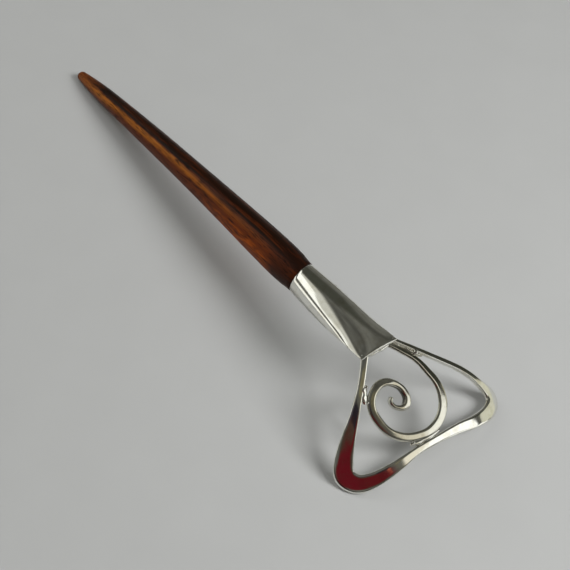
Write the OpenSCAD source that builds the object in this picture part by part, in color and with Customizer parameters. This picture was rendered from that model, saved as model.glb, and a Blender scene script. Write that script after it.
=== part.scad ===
// Hair stick: a turned and gently bowed wooden shaft in a silver ferrule, whose
// flattened end carries an open forged triangle with a scroll inside it.
// It lies on three points: the shaft's tip and the triangle's two far corners.
// +X runs from the tip to the triangle, +Z is up, and z = 0 is the surface it lies on.
// Left is -Y and right is +Y, as seen from the triangle's end.

/* [Shaft] */
// Length of the shaft from the tip to the ferrule's mouth
shaft_l = 111.5; // [100:0.5:140]
// Greatest diameter, a little before the ferrule
shaft_d = 10.2; // [9.8:0.1:12]
// Diameter of the rounded tip
tip_d = 3; // [2.8:0.1:3.2]
// Upward bow of the shaft at mid length
shaft_bow = 1.2; // [0:0.1:4]
// Length of the tenon inside the ferrule
tenon_l = 20; // [12:1:26]
// Gap between the tenon and the ferrule
tenon_gap = 0.1; // [0.05:0.05:0.2]

/* [Ferrule] */
// Length from the round mouth to the flattened end
ferrule_l = 32.5; // [28:0.5:40]
// Outer diameter of the round mouth
mouth_d = 9.1; // [8.4:0.1:9.4]
// Width of the flattened end
end_w = 12.1; // [11:0.1:14]
// Thickness of the flattened end, two sheets and the solder between them
end_t = 1.2; // [1.1:0.1:2]
// Thickness of the silver sheet
sheet_t = 0.45; // [0.4:0.05:0.5]
// Setback of the mouth's edge at its top, as cut by hand
mouth_back_top = 0.9; // [0:0.1:1]
// Setback of the mouth's edge at its left side
mouth_back_left = 0.8; // [0:0.1:1]
// Swelling of the ferrule's left side at mid length
belly_left = 0.6; // [0:0.1:1]
// How late the tube flattens: 1 is evenly along it, more is nearer its end
press_power = 2.8; // [1:0.1:4]

/* [Triangle and scroll] */
// Thickness of the forged triangle
frame_t = 1.2; // [1:0.1:1.6]
// Thickness of the scroll
scroll_t = 1.1; // [0.9:0.1:1.4]
// Height of the scroll's wire in the curl at its inner end
curl_t = 1.9; // [1.4:0.1:2.2]
// Thickness of the solder in the joints
solder_t = 1; // [0.6:0.1:1.1]
// Roundness of the forged edges
edge_r = 0.3; // [0.2:0.05:0.4]
// Slope of the triangle's middle down to the surface, in degrees
head_slope = 33.5; // [30:0.5:36]
// Drop of the left corner's bend, at arch_y from the middle
arch_drop_left = 7.2; // [6:0.1:8]
// Drop of the right corner's bend, at arch_y from the middle
arch_drop_right = 3.8; // [3:0.1:6]

/* [Hidden] */

arch_y = 25;
arch_power = 3;
tip_r = tip_d / 2;
mouth_r = mouth_d / 2;
ring_sides = 36;
tip_rings = 6;
tenon_rings = 4;
tenon_inset = sheet_t + tenon_gap;
ferrule_rings = 14;
// Length over which the shaft takes on the slant of the mouth's edge
follow_l = 13;
// Length of the pressed end, where the ferrule is solid
closed_l = 2;
// How square the flattened end is: 1 is a diamond, near 0 a rectangle
end_squareness = 0.4;

// Shaft radius along its length: [share of the length, share of the greatest radius]
shaft_rows = [
    [0.03, 0.34], [0.06, 0.4], [0.12, 0.495], [0.22, 0.575], [0.37, 0.675], [0.55, 0.773],
    [0.70, 0.873], [0.82, 0.957], [0.91, 1], [0.955, 0.978], [0.985, 0.915]
];

// Forged triangle, from the ferrule's left corner round to its right one:
// [across from the middle, down from the ferrule's end, half width]
frame_rows = [
    [-4.2, -0.6, 1.05], [-8.9, 5.6, 1], [-13.5, 10.9, 1.3], [-18.2, 16.35, 1.95],
    [-21.1, 20.55, 2.3], [-22.45, 24.25, 2.4], [-20.8, 27.35, 2.5], [-17.2, 28.35, 2.2],
    [-12.5, 28.3, 1.8], [-8.4, 27.95, 1.5], [-3, 27.5, 1.15], [4, 27.7, 1.15],
    [11, 28.3, 1.5], [17, 29.3, 1.8], [22.2, 29.4, 2.15], [25.25, 28.1, 2.15],
    [26.05, 25.85, 1.8], [24.6, 22.25, 1.2], [21.2, 16.7, 0.95], [13.3, 8.4, 0.8],
    [4.8, -0.6, 0.65]
];

// Scroll, round its own middle: [turn in degrees, radius, half width]
scroll_mid = [-1.1, 13.7];
scroll_rows = [
    [-72, 14.25, 0.8], [-55, 12.55, 0.95], [-35, 11.75, 0.95], [-12, 11.5, 1.15], [10, 12.45, 1.25],
    [30, 12.95, 1.45], [50, 12.7, 1.45], [72, 11.75, 1.35], [90, 10.6, 1.25], [115, 9.6, 1.25],
    [140, 8.9, 1.25], [165, 8.3, 1.3], [190, 8.2, 1.25], [215, 7.7, 1.2], [240, 6.75, 1.2],
    [260, 5.6, 1.1], [280, 4.3, 1], [305, 3.3, 0.9], [340, 2.55, 0.95], [385, 2.4, 1],
    [415, 2.5, 1.1], [440, 2.4, 0.95], [485, 2.15, 0.7], [520, 2.3, 0.65], [555, 2.45, 0.6],
    [580, 2.2, 0.5]
];

// Solder in each joint: rows of [across, down, half width] along it
solder_left = [[-8.3, 6.2, 0.5], [-8.85, 7.4, 0.95], [-9.6, 9, 0.95], [-10.45, 10.4, 0.5]];
solder_right = [[7.9, 4.2, 0.5], [9.2, 5.6, 0.8], [10.6, 7, 0.4]];
solder_bottom = [[-4.2, 25.2, 0.4], [-1.8, 25.6, 0.8], [1.8, 25.9, 0.8], [5.2, 25.8, 0.4]];
solder_end = [[-3.8, 0, 0.3], [-2, 0.1, 0.6], [0.4, 0.2, 0.6], [3.4, 0.1, 0.4]];

// Point at share u between b and c on a smooth curve through a, b, c and d
function smooth(a, b, c, d, u) =
    b + 0.5 * u * (c - a + u * (2 * a - 5 * b + 4 * c - d + u * (3 * (b - c) + d - a)));

// The table's rows with steps - 1 rows worked out between each two of them
function curve(rows, steps) = let (n = len(rows) - 1) [
    for (i = [0 : n - 1], k = [0 : steps - 1])
        smooth(rows[max(i - 1, 0)], rows[i], rows[i + 1], rows[min(i + 2, n)], k / steps),
    rows[n]
];

// A closed skin over rings that hold the same number of points each
module skin(rings) {
    sides = len(rings[0]);
    last = (len(rings) - 1) * sides;
    walls = [
        for (i = [0 : len(rings) - 2], j = [0 : sides - 1])
            let (a = i * sides + j, b = i * sides + (j + 1) % sides)
            each [[a, b + sides, b], [a, a + sides, b + sides]]
    ];
    ends = [
        [for (j = [0 : sides - 1]) j],
        [for (j = [sides - 1 : -1 : 0]) last + j]
    ];
    polyhedron([for (r = rings) each r], concat(walls, ends));
}

// The sheet that the triangle and the scroll follow: p is [across, down], d the
// height over it. It arches down towards both corners.
slope_dir = [cos(head_slope), 0, -sin(head_slope)];
slope_up = [sin(head_slope), 0, cos(head_slope)];
function arch_drop(y) = y < 0 ? arch_drop_left : arch_drop_right;
function arch(y) = arch_drop(y) * pow(abs(y) / arch_y, arch_power);
function arch_tilt(y) =
    sign(y) * arch_drop(y) * arch_power / arch_y * pow(abs(y) / arch_y, arch_power - 1);
function on_sheet(p, d) =
    let (up = slope_up + [0, arch_tilt(p.x), 0])
    p.y * slope_dir + [0, p.x, 0] - arch(p.x) * slope_up + d * up / norm(up);

// Rings of a flat wire with rounded edges along rows of [across, down, half width].
// The wire is wire_t high, or as high as a row's fourth value
function wire_rings(rows, wire_t) = [
    for (i = [0 : len(rows) - 1])
        let (
            t = is_undef(rows[i][3]) ? wire_t : rows[i][3],
            before = rows[max(i - 1, 0)],
            after = rows[min(i + 1, len(rows) - 1)],
            along = [after.x - before.x, after.y - before.y],
            side = [-along.y, along.x] / norm(along),
            w = rows[i].z,
            r = min(edge_r, w / 2),
            section = [
                [w, r - t], [w - r, -t], [r - w, -t], [-w, r - t],
                [-w, -r], [r - w, 0], [w - r, 0], [w, -r]
            ]
        )
        [for (q = section) on_sheet([rows[i].x, rows[i].y] + q.x * side, q.y)]
];

frame_rings = wire_rings(curve(frame_rows, 4), frame_t);

// The scroll's wire gets higher between these two turns, on its way into the curl
curl_from = 230;
curl_to = 310;
function curl_share(turn) = min(1, max(0, (turn - curl_from) / (curl_to - curl_from)));
scroll_line = [
    for (r = curve(scroll_rows, 4))
        [
            scroll_mid.x + r.y * cos(r.x), scroll_mid.y + r.y * sin(r.x), r.z,
            scroll_t + (curl_t - scroll_t) * curl_share(r.x)
        ]
];

// The triangle's corners and the tip share one surface, which sets the stick's rise
frame_points = [for (r = frame_rings) each r];
head_h = -min([for (p = frame_points) p.z]);
stick_l = shaft_l + ferrule_l;
rise = asin((head_h - tip_r) / (stick_l - tip_r));
stick_dir = [cos(rise), 0, sin(rise)];
stick_up = [-sin(rise), 0, cos(rise)];
far_x = max([for (p = frame_points) p.x]);
near_x = -(stick_l - tip_r) * cos(rise) - tip_r;
right_y = max([for (p = frame_points) p.y]);
left_y = min([for (p = frame_points) p.y]);
ferrule_end = [-(far_x + near_x) / 2, -(left_y + right_y) / 2, head_h];

// A point on the stick, s from the tip along its axis
function on_stick(s, y, z) = (s - stick_l) * stick_dir + [0, y, 0] + z * stick_up;
function bow(s) = s < shaft_l ? 4 * shaft_bow * s * (shaft_l - s) / pow(shaft_l, 2) : 0;

// The mouth's edge isn't quite square to the axis: setback at angle a round it
function setback(a) = mouth_back_top * sin(a) - mouth_back_left * cos(a);

// Outline at share u of a tube that turns from the round mouth to a flat end of
// half width half_w, inset from the ferrule's faces, with a belly on its left
function pressed_ring(u, inset, half_w, belly) = [
    for (k = [0 : ring_sides - 1])
        let (
            a = 360 * k / ring_sides,
            r = mouth_r - inset,
            w = (1 - u) * r + u * half_w,
            pressed = pow(max(0, u), press_power),
            flat_y = a < 180 ? 1 - a / 90 : a / 90 - 3,
            flat_z = (end_t / 2 - inset) * sign(sin(a)) * pow(abs(sin(a)), end_squareness),
            bulge = 4 * belly * max(0, u) * (1 - u) * max(0, -cos(a))
        )
        on_stick(
            shaft_l + u * ferrule_l + (1 - u) * setback(a),
            w * ((1 - pressed) * cos(a) + pressed * flat_y) - bulge,
            (1 - pressed) * r * sin(a) + pressed * flat_z
        )
];
function ferrule_ring(u, inset) = pressed_ring(u, inset, end_w / 2 - inset, belly_left);
function tenon_ring(u) = pressed_ring(u, tenon_inset, mouth_r - tenon_inset, 0);

// A round section of the shaft; close to its shoulder it follows the mouth's edge
function shaft_ring(s, r) = [
    for (k = [0 : ring_sides - 1])
        let (
            a = 360 * k / ring_sides,
            follow = max(0, 1 - (shaft_l - s) / follow_l) * r / mouth_r
        )
        on_stick(s + follow * setback(a), r * cos(a), r * sin(a) + bow(s))
];

module shaft() {
    shoulder = shaft_l - tenon_gap;
    tenon_end = tenon_l / ferrule_l;
    color("#4a2212")
    translate(ferrule_end)
    skin([
        for (k = [1 : tip_rings]) let (a = 90 * k / (tip_rings + 1))
            shaft_ring(tip_r * (1 - cos(a)), tip_r * sin(a)),
        for (r = curve(shaft_rows, 3)) shaft_ring(r.x * shaft_l, r.y * shaft_d / 2),
        shaft_ring(shoulder, mouth_r),
        shaft_ring(shoulder, mouth_r - tenon_inset),
        for (k = [1 : tenon_rings]) tenon_ring(k / tenon_rings * tenon_end)
    ]);
}

module ferrule() {
    // The hollow starts before the mouth and ends where the sheets meet
    from = -closed_l / ferrule_l;
    to = 1 + from;
    difference() {
        skin([for (k = [0 : ferrule_rings]) ferrule_ring(k / ferrule_rings, 0)]);
        skin([for (k = [0 : ferrule_rings])
            ferrule_ring(from + (to - from) * k / ferrule_rings, sheet_t)]);
    }
}

module triangle() {
    skin(frame_rings);
}

module scroll() {
    skin(wire_rings(scroll_line, scroll_t));
}

module solder() {
    for (rows = [solder_left, solder_right, solder_bottom, solder_end])
        skin(wire_rings(curve(rows, 3), solder_t));
}

// Soldered together, the silver is one solid
module silver_head() {
    color("silver")
    translate(ferrule_end) {
        ferrule();
        triangle();
        scroll();
        solder();
    }
}

shaft();
silver_head();
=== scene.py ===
import math

import bmesh
import bpy
from mathutils import Matrix, Vector


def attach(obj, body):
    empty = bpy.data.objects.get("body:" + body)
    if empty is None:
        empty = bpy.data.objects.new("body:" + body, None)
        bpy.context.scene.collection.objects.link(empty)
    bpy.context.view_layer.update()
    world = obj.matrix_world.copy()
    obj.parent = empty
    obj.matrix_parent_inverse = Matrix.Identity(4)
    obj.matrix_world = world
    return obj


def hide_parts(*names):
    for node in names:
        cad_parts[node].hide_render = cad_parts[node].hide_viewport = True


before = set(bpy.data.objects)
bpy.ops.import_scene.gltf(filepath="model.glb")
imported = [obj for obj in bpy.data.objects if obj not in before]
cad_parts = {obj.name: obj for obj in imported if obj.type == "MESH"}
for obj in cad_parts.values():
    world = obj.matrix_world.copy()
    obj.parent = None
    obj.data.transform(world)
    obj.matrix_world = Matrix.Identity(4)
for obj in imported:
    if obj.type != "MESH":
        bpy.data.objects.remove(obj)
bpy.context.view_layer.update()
print("frame loaded:", sorted(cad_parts))

mm = 0.001  # every table below is in millimetres

# How the stick lies. Left is -Y and right is +Y, as seen from the triangle.
stick = {
    "ferruleEnd": (58.76, -1.58, 21.13),  # middle of the ferrule's flat end
    "riseDeg": 7.92,                      # rise from the tip to the ferrule
    "length": 144.0,                      # tip to the ferrule's end
}
ferruleEnd = Vector(stick["ferruleEnd"])
rise = math.radians(stick["riseDeg"])
stickDir = Vector((math.cos(rise), 0, math.sin(rise)))
stickUp = Vector((-math.sin(rise), 0, math.cos(rise)))


def onStick(s, y, z):
    # the point s along the stick from its tip, y to the right and z above its middle
    return ferruleEnd + (s - stick["length"]) * stickDir + Vector((0, y, 0)) + z * stickUp


# The arched sheet that the triangle and the scroll follow down to the table
arch = {"slopeDeg": 33.5, "reach": 25.0, "power": 3, "dropLeft": 7.2, "dropRight": 3.8}
slope = math.radians(arch["slopeDeg"])
slopeDir = Vector((math.cos(slope), 0, -math.sin(slope)))
slopeUp = Vector((math.sin(slope), 0, math.cos(slope)))


def onSheet(across, down, height):
    # the point across from the middle, down from the ferrule's end and height above the sheet
    drop = arch["dropLeft"] if across < 0 else arch["dropRight"]
    bend = drop * (abs(across) / arch["reach"]) ** arch["power"]
    tilt = bend * arch["power"] / across if abs(across) > 1e-6 else 0
    up = (slopeUp + Vector((0, tilt, 0))).normalized()
    return ferruleEnd + down * slopeDir + Vector((0, across, 0)) - bend * slopeUp + height * up


def smoothRows(rows, steps):
    # a smooth curve through the rows, with steps spans between each two
    out = []
    for i in range(len(rows) - 1):
        a, b = rows[max(i - 1, 0)], rows[i]
        c, d = rows[i + 1], rows[min(i + 2, len(rows) - 1)]
        for k in range(steps):
            u = k / steps
            out.append(tuple(
                q + 0.5 * u * (r - p + u * (2 * p - 5 * q + 4 * r - s + u * (3 * (q - r) + s - p)))
                for p, q, r, s in zip(a, b, c, d)))
    out.append(tuple(rows[-1]))
    return out


def signedPower(value, exponent):
    return math.copysign(abs(value) ** exponent, value)


def loft(name, sides, stations, place, girth):
    # A circle is extruded once for each station, and each ring is set in its place.
    # The UV map holds millimetres along and round the piece, its seam underneath.
    bm = bmesh.new()
    ring = bmesh.ops.create_circle(bm, cap_ends=False, segments=sides, radius=1)["verts"]
    first = list(ring)
    spot = {}
    along = 0
    lastMiddle = None
    for i, station in enumerate(stations):
        ahead = []
        if i < len(stations) - 1:
            inRing = set(ring)
            edges = {e for v in ring for e in v.link_edges if e.other_vert(v) in inRing}
            new = bmesh.ops.extrude_edge_only(bm, edges=list(edges))["geom"]
            ahead = [g for g in new if isinstance(g, bmesh.types.BMVert)]
        for v in ring:
            angle = math.atan2(v.co.y, v.co.x)
            spot[v] = [0, (angle / math.tau + 0.25) % 1 * girth]
            v.co = place(station, angle) * mm
        middle = sum((v.co for v in ring), Vector()) / sides
        along += (middle - lastMiddle).length / mm if lastMiddle else 0
        lastMiddle = middle
        for v in ring:
            spot[v][0] = along
        if ahead:
            ring = ahead
    for loop in (first, ring):
        inLoop = set(loop)
        edges = {e for v in loop for e in v.link_edges if e.other_vert(v) in inLoop}
        bmesh.ops.contextual_create(bm, geom=list(edges))
    bmesh.ops.recalc_face_normals(bm, faces=bm.faces)
    uv = bm.loops.layers.uv.new("alongAndRound")
    for face in bm.faces:
        low = min(spot[corner.vert][1] for corner in face.loops)
        wraps = len(face.loops) == 4 and any(spot[c.vert][1] - low > girth / 2 for c in face.loops)
        for corner in face.loops:
            a, r = spot[corner.vert]
            corner[uv].uv = (a, r + girth if wraps and r < girth / 2 else r)
    mesh = bpy.data.meshes.new(name)
    bm.to_mesh(mesh)
    bm.free()
    for face in mesh.polygons:
        face.use_smooth = True
    obj = bpy.data.objects.new(name, mesh)
    bpy.context.scene.collection.objects.link(obj)
    return obj


ferrule = {
    "length": 32.5,
    "mouthDiameter": 9.1,
    "endWidth": 12.1,
    "endThickness": 1.2,
    "sheet": 0.45,
    "setbackTop": 0.9,   # the mouth's edge leans back a little at its top
    "setbackLeft": 0.8,  # and on its left
    "bellyLeft": 0.6,
    "pressPower": 2.8,   # more is pressed flat nearer the end
    "closedLength": 2.0,
    "endSquareness": 0.4,
    "sides": 96,
    "rings": 40,
    "girth": 28,         # mm round it in its UV map
    # rounding of the mouth's lip: distance from the mouth, depth into the sheet
    "lip": [(0.12, 0.45), (0, 0.34), (0, 0.12), (0.04, 0.04), (0.12, 0)],
    # rounding of the flat end: distance from the end, depth into the sheet
    "endEdge": [(0.2, 0), (0.06, 0.05), (0, 0.18)],
}


def setback(angle):
    return ferrule["setbackTop"] * math.sin(angle) - ferrule["setbackLeft"] * math.cos(angle)


def pressedPoint(u, inset, halfWidth, belly, angle):
    # a tube that is round at its mouth, u = 0, and pressed flat at u = 1
    radius = ferrule["mouthDiameter"] / 2 - inset
    wide = (1 - u) * radius + u * halfWidth
    pressed = max(0, u) ** ferrule["pressPower"]
    flatY = 1 - 2 * abs(angle) / math.pi
    halfEnd = ferrule["endThickness"] / 2 - inset
    flatZ = halfEnd * signedPower(math.sin(angle), ferrule["endSquareness"])
    bulge = 4 * belly * max(0, u) * (1 - u) * max(0, -math.cos(angle))
    return onStick(
        shaft["length"] + u * ferrule["length"] + (1 - u) * setback(angle),
        wide * ((1 - pressed) * math.cos(angle) + pressed * flatY) - bulge,
        (1 - pressed) * radius * math.sin(angle) + pressed * flatZ)


def makeFerrule():
    length, rings = ferrule["length"], ferrule["rings"]
    closed = 1 - ferrule["closedLength"] / length
    # from the closed inside out through the mouth and along the outside to the flat end
    inner = [(closed * (1 - k / rings), ferrule["sheet"]) for k in range(rings)]
    mouth = [(s / length, depth) for s, depth in ferrule["lip"]]
    outer = [(k / rings, 0) for k in range(1, rings)]
    end = [(1 - s / length, depth) for s, depth in ferrule["endEdge"]]

    def place(station, angle):
        u, inset = station
        return pressedPoint(u, inset, ferrule["endWidth"] / 2 - inset, ferrule["bellyLeft"], angle)

    stations = inner + mouth + outer + end
    return loft("silverFerrule", ferrule["sides"], stations, place, ferrule["girth"])


shaft = {
    "length": 111.5,
    "diameter": 10.2,
    "tipDiameter": 3.0,
    "bow": 1.2,
    "tenonLength": 20.0,
    "tenonGap": 0.1,
    "slantLength": 13.0,  # stretch that takes on the slant of the ferrule's mouth
    "sides": 72,
    "steps": 8,           # rings from one row to the next
    "tenonRings": 8,
    "girth": 30,          # mm round it in its UV map
    "tipAngles": range(7, 90, 9),
    # the shoulder's broken edge: distance back from the shoulder, distance past the mouth
    "shoulderEdge": [(0.1, 0.02), (0, -0.12)],
    # share of the length, share of the greatest radius
    "rows": [
        (0.03, 0.34), (0.06, 0.40), (0.12, 0.495), (0.22, 0.575), (0.37, 0.675),
        (0.55, 0.773), (0.70, 0.873), (0.82, 0.957), (0.91, 1.0), (0.955, 0.978),
        (0.985, 0.915),
    ],
}


def makeShaft():
    tip = shaft["tipDiameter"] / 2
    mouth = ferrule["mouthDiameter"] / 2
    shoulder = shaft["length"] - shaft["tenonGap"]
    inset = ferrule["sheet"] + shaft["tenonGap"]
    tenonShare = shaft["tenonLength"] / ferrule["length"]
    rings = shaft["tenonRings"]
    stations = [("turned", tip * (1 - math.cos(a)), tip * math.sin(a))
                for a in map(math.radians, shaft["tipAngles"])]
    stations += [("turned", s * shaft["length"], r * shaft["diameter"] / 2)
                 for s, r in smoothRows(shaft["rows"], shaft["steps"])]
    stations += [("turned", shoulder - back, mouth + past) for back, past in shaft["shoulderEdge"]]
    stations += [("turned", shoulder, mouth - inset)]
    stations += [("tenon", k / rings * tenonShare, 0) for k in range(1, rings + 1)]

    def place(station, angle):
        kind, s, r = station
        if kind == "tenon":
            return pressedPoint(s, inset, mouth - inset, 0, angle)
        follow = max(0, 1 - (shaft["length"] - s) / shaft["slantLength"]) * r / mouth
        bow = 4 * shaft["bow"] * s * (shaft["length"] - s) / shaft["length"] ** 2
        return onStick(s + follow * setback(angle), r * math.cos(angle), r * math.sin(angle) + bow)

    return loft("woodShaft", shaft["sides"], stations, place, shaft["girth"])


wireGirth = 6  # mm round a wire in its UV map


def makeWire(name, rows, edge, sides):
    # a forged wire along rows of across, down, half width, cant in degrees and thickness;
    # edge gives the width and depth of its bevelled edges and how crisp they are
    bevelWidth, bevelDepth, crisp = edge

    def place(i, angle):
        across, down, half, cant, thickness = rows[i]
        before, after = rows[max(i - 1, 0)], rows[min(i + 1, len(rows) - 1)]
        ahead = Vector((after[0] - before[0], after[1] - before[1])).normalized()
        side = Vector((-ahead.y, ahead.x))
        turn = math.radians(cant)
        x, z = math.cos(angle), math.sin(angle)
        # on a narrow stretch the bevel takes 0.6 of the half width at most
        wide, deep = half / min(bevelWidth, 0.6 * half), thickness / 2 / bevelDepth
        bevel = (wide * abs(x) + deep * abs(z)) / (wide + deep - 1)
        reach = (abs(x) ** crisp + abs(z) ** crisp + bevel ** crisp) ** (-1 / crisp)
        x, z = reach * half * x, reach * thickness / 2 * z
        x, z = x * math.cos(turn) - z * math.sin(turn), x * math.sin(turn) + z * math.cos(turn)
        return onSheet(across + x * side.x, down + x * side.y, z - thickness / 2)

    return loft(name, sides, range(len(rows)), place, wireGirth)


triangle = {
    "thickness": 1.2,
    "edge": (0.2, 0.3, 12),
    "sides": 40,
    "steps": 12,
    # across from the middle, down from the ferrule's end, half width, cant
    "rows": [
        (-4.2, -0.6, 1.05, -8), (-8.9, 5.6, 1, 0), (-13.5, 10.9, 1.3, 0), (-18.2, 16.35, 1.95, -2),
        (-21.1, 20.55, 2.3, 0), (-22.45, 24.25, 2.4, 0), (-20.8, 27.35, 2.5, 0), (-17.2, 28.35, 2.2, 0),
        (-12.5, 28.3, 1.8, 0), (-8.4, 27.95, 1.5, 0), (-3, 27.5, 1.15, -3), (4, 27.7, 1.15, -6),
        (11, 28.3, 1.5, -7), (17, 29.3, 1.8, -2), (22.2, 29.4, 2.15, -4), (25.25, 28.1, 2.15, -1),
        (26.05, 25.85, 1.8, 0), (24.6, 22.25, 1.2, 0), (21.2, 16.7, 0.95, -9), (13.3, 8.4, 0.8, -7),
        (4.8, -0.6, 0.65, -5),
    ],
}


def makeTriangle():
    rows = smoothRows(triangle["rows"], triangle["steps"])
    line = [(*row, triangle["thickness"]) for row in rows]
    return makeWire("silverTriangle", line, triangle["edge"], triangle["sides"])


scroll = {
    "thickness": 1.1,
    "curlThickness": 1.9,      # the wire stands higher in the curl
    "curlTurns": (230, 310),   # from where to where it grows
    "edge": (0.38, 0.42, 14),
    "sides": 32,
    "steps": 10,
    "middle": (-1.1, 13.7),    # across, down
    # stretch of the curl's inner wall that gets painted shade
    "shadedCurlWall": (60.0, 72.5),  # mm along the wire, on the curl's inner wall
    # turn in degrees, radius, half width, cant
    "rows": [
        (-72, 14.25, 0.8, 16), (-55, 12.55, 0.95, 16), (-35, 11.75, 0.95, 15), (-12, 11.5, 1.15, 13),
        (10, 12.45, 1.25, 8), (30, 12.95, 1.45, 5), (50, 12.7, 1.45, 5), (72, 11.75, 1.35, 5),
        (90, 10.6, 1.25, 6), (115, 9.6, 1.25, 2), (140, 8.9, 1.25, 3), (165, 8.3, 1.3, 3),
        (190, 8.2, 1.25, 3), (215, 7.7, 1.2, 3), (240, 6.75, 1.2, 5), (260, 5.6, 1.1, 6),
        (280, 4.3, 1, -2), (305, 3.3, 0.9, 0), (340, 2.55, 0.95, 3), (385, 2.4, 1, 4),
        (415, 2.5, 1.1, 5), (440, 2.4, 0.95, 6), (485, 2.15, 0.7, 6), (520, 2.3, 0.65, 8),
        (555, 2.45, 0.6, 6), (580, 2.2, 0.5, 0),
    ],
}


def makeScroll():
    line = []
    middleAcross, middleDown = scroll["middle"]
    start, stop = scroll["curlTurns"]
    for turn, radius, half, cant in smoothRows(scroll["rows"], scroll["steps"]):
        a = math.radians(turn)
        share = min(1, max(0, (turn - start) / (stop - start)))
        thickness = (1 - share) * scroll["thickness"] + share * scroll["curlThickness"]
        line.append((middleAcross + radius * math.cos(a), middleDown + radius * math.sin(a),
                     half, cant, thickness))
    return makeWire("silverScroll", line, scroll["edge"], scroll["sides"])


solder = {
    "thickness": 1.05,
    "edge": (0.5, 0.4, 4),
    "sides": 20,
    "steps": 8,
    "dropSides": 16,
    # rings of a drop from close to its top to close to its bottom, in degrees
    "dropAngles": [8 + 12.6 * k for k in range(14)],
    # across, down, half width and cant along each joint
    "joints": {
        "left": [(-8.2, 6.0, 0.5, 14), (-8.7, 7.0, 1.15, 24), (-9.1, 7.9, 0.95, 20),
                 (-9.7, 9.1, 1.2, 26), (-10.45, 10.4, 0.5, 16)],
        "right": [(4.3, -0.1, 0.3, 2), (5.6, 1.3, 0.3, 2), (6.9, 2.7, 0.35, 3), (7.9, 4.1, 0.55, 4),
                  (9.2, 5.6, 0.8, 6), (10.6, 7.0, 0.4, 6)],
        "bottom": [(-4.2, 25.2, 0.35, 4), (-2.2, 25.6, 0.95, 6), (-0.4, 25.75, 0.8, 6),
                   (1.8, 25.9, 1.0, 6), (5.2, 25.8, 0.45, 5)],
        "end": [(-3.8, 0.0, 0.3, 6), (-2.0, 0.1, 0.6, 6), (-0.6, 0.15, 0.45, 6),
                (0.8, 0.2, 0.65, 6), (3.4, 0.1, 0.4, 6)],
    },
    # joint, across, down, height of the middle and radius of a drop left beside it
    "drops": [
        ("left", -8.0, 6.6, -0.2, 0.5), ("left", -9.6, 10.2, -0.2, 0.45),
        ("right", 9.2, 5.3, -0.05, 0.7), ("bottom", -3.1, 25.0, -0.3, 0.45),
    ],
}


def makeSolder(joint):
    rows = smoothRows(solder["joints"][joint], solder["steps"])
    line = [(*row, solder["thickness"]) for row in rows]
    return makeWire("solder_" + joint, line, solder["edge"], solder["sides"])


def makeDrop(joint, across, down, height, radius):
    def place(polar, angle):
        ring = radius * math.sin(polar)
        return onSheet(across + ring * math.cos(angle), down + ring * math.sin(angle),
                       height + radius * math.cos(polar))

    polars = [math.radians(a) for a in solder["dropAngles"]]
    return loft("solderDrop_" + joint, solder["dropSides"], polars, place, math.tau * radius)


woodShaft = makeShaft()
silverFerrule = makeFerrule()
silverTriangle = makeTriangle()
silverScroll = makeScroll()
solderBeads = [makeSolder(joint) for joint in solder["joints"]]
solderBeads += [makeDrop(*drop) for drop in solder["drops"]]
print("pieces made")


def linear(hexColour):
    # an sRGB colour in hex, as the linear colour that a socket takes
    parts = [int(hexColour[i:i + 2], 16) / 255 for i in (1, 3, 5)]
    return tuple(p / 12.92 if p <= 0.04045 else ((p + 0.055) / 1.055) ** 2.4 for p in parts) + (1,)


def addNode(tree, kind, settings=None, links=None):
    # one node, its settings by socket or property name, and what feeds its sockets
    node = tree.nodes.new(kind)
    for key, value in (settings or {}).items():
        if isinstance(key, int) or key in node.inputs:
            node.inputs[key].default_value = value
        else:
            setattr(node, key, value)
    for key, source in (links or {}).items():
        tree.links.new(source, node.inputs[key])
    return node


def newMaterial(name):
    material = bpy.data.materials.new(name)
    material.use_nodes = True
    material.node_tree.nodes.clear()
    return material, material.node_tree


silver = {
    # bright, and where the polish has gone off a little
    "polished": ("#f2f1ea", "#d5cfbd"),
    "filed": ("#d8d6cb", "#b9b4a2"),
    # painted shade: the dark colour laid on the curl's inner wall
    "curlShade": "#35322c",
    "roughness": (0.06, 0.12),
    "roughSpan": (0.12, 0.42),   # of the noise, from smoothest to roughest
    "scratchDepth": 0.0005,
    "smudge": 2.857,             # from one smudge to the next
    "smudgeSpan": (0.45, 0.75),  # of the noise, from none to all
    "smudgeShare": 0.6,
    "wallFades": (4.0, 3.0),     # over which the tarnish comes and goes along the wire
    "wallHalf": (0.5, 0.75),     # up and down from the wall's middle
    # greatest share of that painted shade
    "curlShadeShare": 0.9,
}


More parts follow.
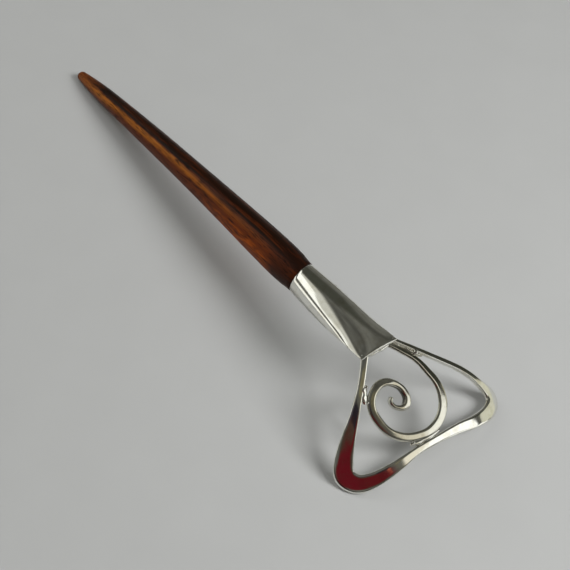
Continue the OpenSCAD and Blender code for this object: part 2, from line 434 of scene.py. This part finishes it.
def paintCurlWallShade(tree, uv, colour, start, stop):
    # painted shade darkens the curl's inner wall, from start to stop in mm along the wire
    fadeIn, fadeOut = silver["wallFades"]
    part = addNode(tree, "ShaderNodeSeparateXYZ", None, {"Vector": uv})
    enters = addNode(tree, "ShaderNodeMapRange", {
        "interpolation_type": "SMOOTHSTEP", "From Min": start, "From Max": start + fadeIn},
        {"Value": part.outputs[0]})
    leaves = addNode(tree, "ShaderNodeMapRange", {
        "interpolation_type": "SMOOTHSTEP", "From Min": stop - fadeOut, "From Max": stop,
        "To Min": 1.0, "To Max": 0.0}, {"Value": part.outputs[0]})
    # the wall's middle is a quarter of the way round, as the seam is underneath
    offWall = addNode(tree, "ShaderNodeMath", {"operation": "SUBTRACT", 1: wireGirth / 4},
                      {0: part.outputs[1]})
    away = addNode(tree, "ShaderNodeMath", {"operation": "ABSOLUTE"}, {0: offWall.outputs[0]})
    onWall = addNode(tree, "ShaderNodeMapRange", {
        "interpolation_type": "SMOOTHSTEP", "From Min": silver["wallHalf"][0],
        "From Max": silver["wallHalf"][1], "To Min": silver["curlShadeShare"], "To Max": 0.0},
        {"Value": away.outputs[0]})
    between = addNode(tree, "ShaderNodeMath", {"operation": "MULTIPLY"},
                      {0: enters.outputs[0], 1: leaves.outputs[0]})
    share = addNode(tree, "ShaderNodeMath", {"operation": "MULTIPLY"},
                    {0: between.outputs[0], 1: onWall.outputs[0]})
    mixed = addNode(tree, "ShaderNodeMix", {"data_type": "RGBA", 7: linear(silver["curlShade"])},
                    {0: share.outputs[0], 6: colour})
    return mixed.outputs[2]


def makeSilver(name, finish, line, waves, dull=1.0, scratch=1.0, wall=None):
    # In mm: length and width of a polishing line, length and depth of the waves that hammer and
    # file have left, and the stretch of the wire whose wall gets painted shade. dull and scratch say
    # how many times as rough and as scratched it is as the sheet. A cloth's lines are finer than that
    # and are drawn as wide as they need to be to show.
    lineLength, lineWidth = line
    waveLength, waveDepth = waves
    material, tree = newMaterial(name)
    uv = addNode(tree, "ShaderNodeUVMap", {"uv_map": "alongAndRound"})
    place = addNode(tree, "ShaderNodeTexCoord")
    inMm = addNode(tree, "ShaderNodeMapping", {"Scale": (1 / mm, 1 / mm, 1 / mm)},
                   {"Vector": place.outputs["Object"]})
    drawn = addNode(tree, "ShaderNodeMapping", {"Scale": (1 / lineLength, 1 / lineWidth, 1)},
                    {"Vector": uv.outputs[0]})
    lines = addNode(tree, "ShaderNodeTexNoise", {"Scale": 1.0, "Detail": 5.0, "Roughness": 0.65},
                    {"Vector": drawn.outputs[0]})
    smudge = addNode(tree, "ShaderNodeTexNoise", {
        "Scale": 1 / silver["smudge"], "Detail": 3.0, "Roughness": 0.55},
        {"Vector": inMm.outputs[0]})
    mixed = addNode(tree, "ShaderNodeMath", {"operation": "MULTIPLY"},
                    {0: lines.outputs[0], 1: smudge.outputs[0]})
    roughness = addNode(tree, "ShaderNodeMapRange", {
        "From Min": silver["roughSpan"][0], "From Max": silver["roughSpan"][1],
        "To Min": silver["roughness"][0] * dull, "To Max": silver["roughness"][1] * dull},
        {"Value": mixed.outputs[0]})
    tone = addNode(tree, "ShaderNodeMapRange", {
        "From Min": silver["smudgeSpan"][0], "From Max": silver["smudgeSpan"][1],
        "To Min": 0.0, "To Max": silver["smudgeShare"]}, {"Value": smudge.outputs[0]})
    colour = addNode(tree, "ShaderNodeMix", {
        "data_type": "RGBA", 6: linear(silver[finish][0]), 7: linear(silver[finish][1])},
        {0: tone.outputs[0]}).outputs[2]
    # painted shade on the curl's inner wall
    if wall:
        colour = paintCurlWallShade(tree, uv.outputs[0], colour, *wall)
    beaten = addNode(tree, "ShaderNodeTexNoise", {
        "Scale": 1 / waveLength, "Detail": 1.0, "Roughness": 0.4}, {"Vector": inMm.outputs[0]})
    uneven = addNode(tree, "ShaderNodeBump", {"Strength": 1.0, "Distance": waveDepth * mm},
                     {"Height": beaten.outputs[0]})
    scratched = addNode(tree, "ShaderNodeBump", {
        "Strength": 1.0, "Distance": silver["scratchDepth"] * scratch * mm},
        {"Height": lines.outputs[0], "Normal": uneven.outputs[0]})
    shader = addNode(tree, "ShaderNodeBsdfPrincipled", {"Metallic": 1.0}, {
        "Base Color": colour, "Roughness": roughness.outputs[0],
        "Normal": scratched.outputs[0]})
    addNode(tree, "ShaderNodeOutputMaterial", None, {"Surface": shader.outputs[0]})
    return material


wood = {
    "heart": "#1c0d06",         # nearly black band on the right
    "brown": "#6c300c",
    "streak": "#b0681f",        # light streak from the tip towards the ferrule
    "flecks": "#b85608",
    "pores": "#100703",
    "tip": "#7c3e10",
    # painted shade for the wood next to the ferrule
    "ferruleShade": "#1f0e08",
    "across": (-0.85, -0.53),   # y and up of the way in which the figure changes
    # from where to where along the stick, in mm from its tip
    "streakSettles": (10, 55),
    "streakFades": (45, 102),
    "flecksGrow": (60, 86),
    "flecksEnd": (101, 105),
    "tipFades": (1, 14),
    # where the painted shade next to the ferrule grows
    "ferruleShadeGrows": (98, 108),
    # across the stick, in mm
    "streakPlace": (0.6, 0.0),  # how far left of the axis it starts, and where it settles
    "streakHalf": (0.2, 1.3),   # half width of its bright middle, and of all of it
    "brownGrows": (-1.6, 0.4),  # left of the streak's middle, from the dark heart to brown
    "flecksEdge": (1.5, 2.6),   # left of the streak's middle, from none to all
    "wander": 1.4,              # side to side drift of the figure
    # length along the grain and width across it of each pattern, in mm
    "driftSize": (28.57, 6.25),
    "growthSize": (33.33, 0.6667),
    "fleckSize": (4.545, 1.111),
    "poreSize": (3.333, 0.2778),
    "poreDepth": 0.02,
    # span of the noise over which each pattern comes up
    "growthSpan": (0.37, 0.63),
    "streakSpan": (0.4, 0.56),
    "fleckSpan": (0.4, 0.6),
    "poreSpan": (0.54, 0.64),
    # greatest share of each colour over what lies under it
    "tipShare": 0.9,
    "poreShare": 0.85,
    # greatest share of the painted shade next to the ferrule
    "ferruleShadeShare": 0.7,
    "roughness": (0.34, 0.6),   # waxed, and in the pores
    "ior": 1.45,
    "specular": 0.14,
}

# axes of the grain: along the stick, across its figure and into it
acrossGrain = Vector((0, wood["across"][0], 0)) + wood["across"][1] * stickUp
acrossGrain.normalize()
grain = Matrix((stickDir, acrossGrain, stickDir.cross(acrossGrain)))


def grainPattern(tree, inGrain, size, detail, roughness=0.5):
    # patches of this length along the grain and this width across it
    along, wide = size
    scaled = addNode(tree, "ShaderNodeMapping", {"Scale": (1 / along, 1 / wide, 1 / wide)},
                     {"Vector": inGrain})
    noise = addNode(tree, "ShaderNodeTexNoise", {
        "Scale": 1.0, "Detail": detail, "Roughness": roughness}, {"Vector": scaled.outputs[0]})
    return noise.outputs[0]


def fromStreak(tree, inGrain, fromTip, fromAxis):
    # mm left of the streak's middle, which wanders a little
    drift = grainPattern(tree, inGrain, wood["driftSize"], 3.0)
    middle = addNode(tree, "ShaderNodeMapRange", {
        "interpolation_type": "SMOOTHSTEP",
        "From Min": wood["streakSettles"][0], "From Max": wood["streakSettles"][1],
        "To Min": wood["streakPlace"][0] + wood["wander"] / 2,
        "To Max": wood["streakPlace"][1] + wood["wander"] / 2}, {"Value": fromTip})
    straight = addNode(tree, "ShaderNodeMath", {"operation": "SUBTRACT"},
                       {0: fromAxis, 1: middle.outputs[0]})
    across = addNode(tree, "ShaderNodeMath", {"operation": "MULTIPLY_ADD", 1: wood["wander"]},
                     {0: drift, 2: straight.outputs[0]})
    return across.outputs[0]


def woodGround(tree, across, growth):
    # from the dark heart to brown, with growth lines all over
    side = addNode(tree, "ShaderNodeMapRange", {
        "interpolation_type": "SMOOTHSTEP", "From Min": wood["brownGrows"][0],
        "From Max": wood["brownGrows"][1], "To Min": -0.45, "To Max": 0.45}, {"Value": across})
    lines = addNode(tree, "ShaderNodeMapRange", {
        "From Min": wood["growthSpan"][0], "From Max": wood["growthSpan"][1],
        "To Min": 0.1, "To Max": 0.9}, {"Value": growth})
    figure = addNode(tree, "ShaderNodeMath", {"operation": "ADD", "use_clamp": True},
                     {0: side.outputs[0], 1: lines.outputs[0]})
    ground = addNode(tree, "ShaderNodeMix", {
        "data_type": "RGBA", 6: linear(wood["heart"]), 7: linear(wood["brown"])},
        {0: figure.outputs[0]})
    return ground.outputs[2]


def addStreak(tree, colour, fromTip, across, growth):
    # lively with the growth lines, and gone before the ferrule
    distance = addNode(tree, "ShaderNodeMath", {"operation": "ABSOLUTE"}, {0: across})
    band = addNode(tree, "ShaderNodeMapRange", {
        "interpolation_type": "SMOOTHSTEP", "From Min": wood["streakHalf"][0],
        "From Max": wood["streakHalf"][1], "To Min": 1.0, "To Max": 0.0},
        {"Value": distance.outputs[0]})
    fade = addNode(tree, "ShaderNodeMapRange", {
        "From Min": wood["streakFades"][0], "From Max": wood["streakFades"][1],
        "To Min": 1.0, "To Max": 0.0}, {"Value": fromTip})
    lively = addNode(tree, "ShaderNodeMapRange", {
        "From Min": wood["streakSpan"][0], "From Max": wood["streakSpan"][1],
        "To Min": 0.4, "To Max": 1.0}, {"Value": growth})
    shown = addNode(tree, "ShaderNodeMath", {"operation": "MULTIPLY"},
                    {0: band.outputs[0], 1: fade.outputs[0]})
    share = addNode(tree, "ShaderNodeMath", {"operation": "MULTIPLY", "use_clamp": True},
                    {0: shown.outputs[0], 1: lively.outputs[0]})
    streaked = addNode(tree, "ShaderNodeMix", {"data_type": "RGBA", 7: linear(wood["streak"])},
                       {0: share.outputs[0], 6: colour})
    return streaked.outputs[2]


def addFlecks(tree, colour, inGrain, fromTip, across):
    # orange, on the left side, more and more of them towards the ferrule
    patch = grainPattern(tree, inGrain, wood["fleckSize"], 5.0, 0.6)
    patchy = addNode(tree, "ShaderNodeMapRange", {
        "From Min": wood["fleckSpan"][0], "From Max": wood["fleckSpan"][1]}, {"Value": patch})
    leftSide = addNode(tree, "ShaderNodeMapRange", {
        "interpolation_type": "SMOOTHSTEP", "From Min": wood["flecksEdge"][0],
        "From Max": wood["flecksEdge"][1]}, {"Value": across})
    grows = addNode(tree, "ShaderNodeMapRange", {
        "interpolation_type": "SMOOTHSTEP", "From Min": wood["flecksGrow"][0],
        "From Max": wood["flecksGrow"][1]}, {"Value": fromTip})
    ends = addNode(tree, "ShaderNodeMapRange", {
        "From Min": wood["flecksEnd"][0], "From Max": wood["flecksEnd"][1],
        "To Min": 1.0, "To Max": 0.0}, {"Value": fromTip})
    where = addNode(tree, "ShaderNodeMath", {"operation": "MULTIPLY"},
                    {0: leftSide.outputs[0], 1: grows.outputs[0]})
    there = addNode(tree, "ShaderNodeMath", {"operation": "MULTIPLY"},
                    {0: where.outputs[0], 1: ends.outputs[0]})
    share = addNode(tree, "ShaderNodeMath", {"operation": "MULTIPLY"},
                    {0: there.outputs[0], 1: patchy.outputs[0]})
    flecked = addNode(tree, "ShaderNodeMix", {"data_type": "RGBA", 7: linear(wood["flecks"])},
                      {0: share.outputs[0], 6: colour})
    return flecked.outputs[2]


def makeWood():
    material, tree = newMaterial("rosewoodOiledAndWaxed")
    place = addNode(tree, "ShaderNodeTexCoord")
    # millimetres from the tip, across the figure and into it
    toGrain = addNode(tree, "ShaderNodeMapping", {
        "Scale": (1 / mm, 1 / mm, 1 / mm), "Rotation": grain.to_euler(),
        "Location": -(grain @ onStick(0, 0, 0))}, {"Vector": place.outputs["Object"]})
    inGrain = toGrain.outputs[0]
    part = addNode(tree, "ShaderNodeSeparateXYZ", None, {"Vector": inGrain})
    fromTip, fromAxis = part.outputs[0], part.outputs[1]
    across = fromStreak(tree, inGrain, fromTip, fromAxis)
    growth = grainPattern(tree, inGrain, wood["growthSize"], 7.0, 0.6)
    colour = woodGround(tree, across, growth)
    colour = addStreak(tree, colour, fromTip, across, growth)
    colour = addFlecks(tree, colour, inGrain, fromTip, across)
    # the thin end has less of the dark heart
    nearTip = addNode(tree, "ShaderNodeMapRange", {
        "From Min": wood["tipFades"][0], "From Max": wood["tipFades"][1],
        "To Min": wood["tipShare"], "To Max": 0.0}, {"Value": fromTip})
    tipped = addNode(tree, "ShaderNodeMix", {"data_type": "RGBA", 7: linear(wood["tip"])},
                     {0: nearTip.outputs[0], 6: colour})
    # pores, a fifth of a millimetre wide and a few long
    holes = grainPattern(tree, inGrain, wood["poreSize"], 2.0)
    pores = addNode(tree, "ShaderNodeMapRange", {
        "From Min": wood["poreSpan"][0], "From Max": wood["poreSpan"][1],
        "To Min": 0.0, "To Max": wood["poreShare"]}, {"Value": holes})
    pored = addNode(tree, "ShaderNodeMix", {"data_type": "RGBA", 7: linear(wood["pores"])},
                    {0: pores.outputs[0], 6: tipped.outputs[2]})
    # painted shade darkens the wood next to the silver
    ferruleShade = addNode(tree, "ShaderNodeMapRange", {
        "interpolation_type": "SMOOTHSTEP", "From Min": wood["ferruleShadeGrows"][0],
        "From Max": wood["ferruleShadeGrows"][1], "To Min": 0.0, "To Max": wood["ferruleShadeShare"]},
        {"Value": fromTip})
    shadedByFerrule = addNode(tree, "ShaderNodeMix", {"data_type": "RGBA", 7: linear(wood["ferruleShade"])},
                      {0: ferruleShade.outputs[0], 6: pored.outputs[2]})
    roughness = addNode(tree, "ShaderNodeMapRange", {
        "To Min": wood["roughness"][0], "To Max": wood["roughness"][1]}, {"Value": pores.outputs[0]})
    relief = addNode(tree, "ShaderNodeMath", {"operation": "MULTIPLY_ADD", 1: 0.25},
                     {0: growth, 2: pores.outputs[0]})
    bump = addNode(tree, "ShaderNodeBump", {
        "Strength": 0.6, "Distance": wood["poreDepth"] * mm, "invert": True},
        {"Height": relief.outputs[0]})
    shader = addNode(tree, "ShaderNodeBsdfPrincipled", {
        "IOR": wood["ior"], "Specular IOR Level": wood["specular"]},
        {"Base Color": shadedByFerrule.outputs[2], "Roughness": roughness.outputs[0],
         "Normal": bump.outputs[0]})
    addNode(tree, "ShaderNodeOutputMaterial", None, {"Surface": shader.outputs[0]})
    return material


# mirrors the room sharply, with faint lines drawn lengthwise
sheetSilver = makeSilver("sterlingSilverSheetHandPolished", "polished",
                         line=(8.0, 0.11), waves=(8.0, 0.012))
# mirrors with gently broken edges
wireSilver = makeSilver("sterlingSilverWireForgedAndBuffed", "polished",
                        line=(3.0, 0.14), waves=(3.0, 0.015))
# duller than the triangle, its reflections broken up by file marks across the wire, with painted shade
# on the curl's inner wall
scrollSilver = makeSilver("sterlingSilverWireFiledAndBuffed", "filed", line=(0.25, 1.2),
                          waves=(3.0, 0.015), dull=1.35, scratch=3.0, wall=scroll["shadedCurlWall"])
# softer and lumpier than the wire that it joins
solderSilver = makeSilver("silverSolderFlowedAndFiled", "polished", line=(0.6, 0.4),
                          waves=(0.8, 0.04), dull=1.6, scratch=2.0)
# dark and dense, with a light streak, fine growth lines and open pores under a low sheen
rosewood = makeWood()
woodShaft.data.materials.append(rosewood)
silverFerrule.data.materials.append(sheetSilver)
silverTriangle.data.materials.append(wireSilver)
silverScroll.data.materials.append(scrollSilver)
for bead in solderBeads:
    bead.data.materials.append(solderSilver)
print("materials made")

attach(woodShaft, "root")
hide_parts("shaft")
for piece in [silverFerrule, silverTriangle, silverScroll] + solderBeads:
    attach(piece, "root")
    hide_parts("silver_head")


paper = {
    "width": 3000,
    "tones": ("#b7b8b7", "#bcbdbc"),
    "cloud": 16.67,  # from one paler patch to the next
    "fibre": 1.111,  # real fibres are finer and would not show
    "fibreDepth": 0.05,
    "roughness": 0.85,
}


def makeFloor():
    # pale matt paper, a little cloudy, with fibres that only show close up
    bm = bmesh.new()
    bmesh.ops.create_grid(bm, x_segments=1, y_segments=1, size=paper["width"] / 2 * mm)
    mesh = bpy.data.meshes.new("floor")
    bm.to_mesh(mesh)
    bm.free()
    obj = bpy.data.objects.new("floor", mesh)
    bpy.context.scene.collection.objects.link(obj)
    material, tree = newMaterial("greyPaperSmooth")
    place = addNode(tree, "ShaderNodeTexCoord")
    cloud = addNode(tree, "ShaderNodeTexNoise", {"Scale": 1 / (paper["cloud"] * mm), "Detail": 4.0},
                    {"Vector": place.outputs["Object"]})
    tone = addNode(tree, "ShaderNodeMix", {
        "data_type": "RGBA", 6: linear(paper["tones"][0]), 7: linear(paper["tones"][1])},
        {0: cloud.outputs[0]})
    fibre = addNode(tree, "ShaderNodeTexNoise", {
        "Scale": 1 / (paper["fibre"] * mm), "Detail": 3.0, "Distortion": 1.5},
        {"Vector": place.outputs["Object"]})
    bump = addNode(tree, "ShaderNodeBump", {
        "Strength": 0.25, "Distance": paper["fibreDepth"] * mm}, {"Height": fibre.outputs[0]})
    shader = addNode(tree, "ShaderNodeBsdfPrincipled", {"Roughness": paper["roughness"]},
                     {"Base Color": tone.outputs[2], "Normal": bump.outputs[0]})
    addNode(tree, "ShaderNodeOutputMaterial", None, {"Surface": shader.outputs[0]})
    mesh.materials.append(material)


# Soft lamps: azimuth and elevation in degrees, distance and width in mm, watts
lamps = {
    "windowLamp": (26, 43, 720, 370, 4.2),
    "backLamp": (-165, 38, 700, 420, 1.15),
    "ceilingLamp": (-60, 80, 1100, 1500, 2.2),
}

# What the silver mirrors: azimuth, elevation, width, height and roll in degrees, distance in mm,
# share of the card over which its edges fade, colour, strength
cards = {
    "violetCard": (-52, 55, 40, 14, 0, 1000, 0.5, "#48424f", 1.0),
    "brownCard": (-32, 40, 46, 22, -12, 990, 0.3, "#45352d", 1.0),
    "duskCard": (-8, 50, 18, 10, 0, 980, 0.3, "#211f25", 1.0),
    "warmCard": (-24, 40.6, 58, 7.5, -12, 970, 0.4, "#57161a", 1.0),
    "redCard": (-51, 28, 42, 9, -41, 960, 0.5, "#5a121a", 1.0),
    "oliveCard": (18, 47.5, 12, 9, 0, 950, 0.4, "#757059", 1.0),
    "eveningCard": (77, 19, 62, 22, 49, 945, 0.2, "#393a34", 1.0),
    "creamCard": (28, 34, 15, 21, 0, 940, 0.35, "#e2ddcd", 1.1),
    "windowCard": (39.9, 26.2, 28, 19.5, 50, 930, 0.15, "#fcfdf9", 1.25),
    "horizonCard": (69.5, 2.5, 36, 13, 49, 920, 0.1, "#cfcebc", 1.0),
    "sideGlowCard": (-148, 41, 54, 34, 4, 910, 0.5, "#c8c8c0", 1.0),
    "sideCard": (-155, 34, 66, 20, 4, 900, 0.1, "#fbfcf7", 1.2),
    "sillCard": (43, 6, 34, 18, 0, 925, 0.15, "#fcfdf9", 1.1),
    "tableCard": (-142, 3, 60, 15, 0, 890, 0.2, "#f2f2ec", 1.2),
    "shadeCard": (147, 40, 60, 40, 0, 880, 0.5, "#42433c", 1.0),
    "lowCard": (-46, 6, 86, 26, 0, 995, 0.2, "#1c100a", 1.0),
    "nearCard": (-45, -2, 60, 17, 0, 130, 0.2, "#1e130e", 1.0),
    "glintCard": (-6, 31, 6.5, 1.6, 0, 109, 0.6, "#c0654f", 1.0),
    "rimCard": (131, -4, 46, 21, 0, 74, 0.3, "#6c6c67", 1.0),
}


def towards(azimuth, elevation):
    a, e = math.radians(azimuth), math.radians(elevation)
    return Vector((math.cos(e) * math.cos(a), math.cos(e) * math.sin(a), math.sin(e)))


def makeLamp(name, azimuth, elevation, distance, width, watts):
    data = bpy.data.lights.new(name, "AREA")
    data.shape = "DISK"
    data.size = width * mm
    data.energy = watts
    lamp = bpy.data.objects.new(name, data)
    direction = towards(azimuth, elevation)
    lamp.location = direction * distance * mm
    lamp.rotation_euler = direction.to_track_quat("Z", "Y").to_euler()
    lamp.visible_glossy = False
    bpy.context.scene.collection.objects.link(lamp)


def makeCard(name, azimuth, elevation, width, height, roll, distance, fade, colour, strength):
    # a glowing card that faces the ferrule's end and shows in reflections only
    bm = bmesh.new()
    bmesh.ops.create_grid(bm, x_segments=1, y_segments=1, size=1)
    half = [distance * math.tan(math.radians(part / 2)) * mm for part in (width, height)]
    bmesh.ops.scale(bm, vec=(half[0], half[1], 1), verts=bm.verts)
    mesh = bpy.data.meshes.new(name)
    bm.to_mesh(mesh)
    bm.free()
    obj = bpy.data.objects.new(name, mesh)
    bpy.context.scene.collection.objects.link(obj)
    direction = towards(azimuth, elevation)
    middle = (ferruleEnd + direction * distance) * mm
    turned = (-direction).to_track_quat("Z", "Y").to_matrix().to_4x4()
    obj.matrix_world = Matrix.Translation(middle) @ turned @ Matrix.Rotation(math.radians(roll), 4, "Z")
    material, tree = newMaterial(name + "Paper")
    place = addNode(tree, "ShaderNodeTexCoord")
    spot = addNode(tree, "ShaderNodeSeparateXYZ", None, {"Vector": place.outputs["Object"]})
    shown = []
    for side, reach in zip(spot.outputs, half):
        size = addNode(tree, "ShaderNodeMath", {"operation": "ABSOLUTE"}, {0: side})
        shown.append(addNode(tree, "ShaderNodeMapRange", {
            "interpolation_type": "SMOOTHSTEP", "From Min": (1 - fade) * reach, "From Max": reach,
            "To Min": 1.0, "To Max": 0.0}, {"Value": size.outputs[0]}))
    both = addNode(tree, "ShaderNodeMath", {"operation": "MULTIPLY"},
                   {0: shown[0].outputs[0], 1: shown[1].outputs[0]})
    clear = addNode(tree, "ShaderNodeBsdfTransparent")
    glow = addNode(tree, "ShaderNodeEmission", {"Color": linear(colour), "Strength": strength})
    mixed = addNode(tree, "ShaderNodeMixShader", None,
                    {0: both.outputs[0], 1: clear.outputs[0], 2: glow.outputs[0]})
    addNode(tree, "ShaderNodeOutputMaterial", None, {"Surface": mixed.outputs[0]})
    mesh.materials.append(material)
    obj.visible_camera = obj.visible_diffuse = obj.visible_transmission = obj.visible_shadow = False


# The dim room past the cards, uneven in tone
room = {
    "tones": ("#474743", "#6e6e68"),
    "patches": 2.6,        # noise scale over the unit sphere of directions
    "span": (0.35, 0.65),  # of the noise, from the dark tone to the light one
}


def makeRoom():
    world = bpy.data.worlds.new("dimRoom")
    world.use_nodes = True
    tree = world.node_tree
    tree.nodes.clear()
    place = addNode(tree, "ShaderNodeTexCoord")
    walls = addNode(tree, "ShaderNodeTexNoise", {
        "Scale": room["patches"], "Detail": 2.0, "Roughness": 0.5},
        {"Vector": place.outputs["Generated"]})
    shade = addNode(tree, "ShaderNodeMapRange", {
        "From Min": room["span"][0], "From Max": room["span"][1]}, {"Value": walls.outputs[0]})
    tones = addNode(tree, "ShaderNodeMix", {
        "data_type": "RGBA", 6: linear(room["tones"][0]), 7: linear(room["tones"][1])},
        {0: shade.outputs[0]})
    back = addNode(tree, "ShaderNodeBackground", None, {"Color": tones.outputs[2]})
    addNode(tree, "ShaderNodeOutputWorld", None, {"Surface": back.outputs[0]})
    bpy.context.scene.world = world


makeFloor()
for name, values in lamps.items():
    makeLamp(name, *values)
for name, values in cards.items():
    makeCard(name, *values)
makeRoom()
print("stage made")

# Fitted to the photo. Right, up and back are the camera's own axes.
camera = {
    "place": (207.29, -177.72, 328.25),
    "right": (0.6006, 0.7948, 0.0869),
    "up": (-0.6580, 0.4296, 0.6184),
    "back": (0.4542, -0.4286, 0.7811),
    "lens": 94.74,
    "sensor": 36,
    "nearest": 10,
}


def makeCamera():
    data = bpy.data.cameras.new("camera")
    data.lens = camera["lens"]
    data.sensor_width = camera["sensor"]
    data.clip_start = camera["nearest"] * mm
    obj = bpy.data.objects.new("camera", data)
    axes = Matrix((camera["right"], camera["up"], camera["back"])).transposed().to_4x4()
    obj.matrix_world = Matrix.Translation(Vector(camera["place"]) * mm) @ axes
    bpy.context.scene.collection.objects.link(obj)
    bpy.context.scene.camera = obj


makeCamera()
bpy.context.scene.view_settings.view_transform = "Standard"

print("scene ready")
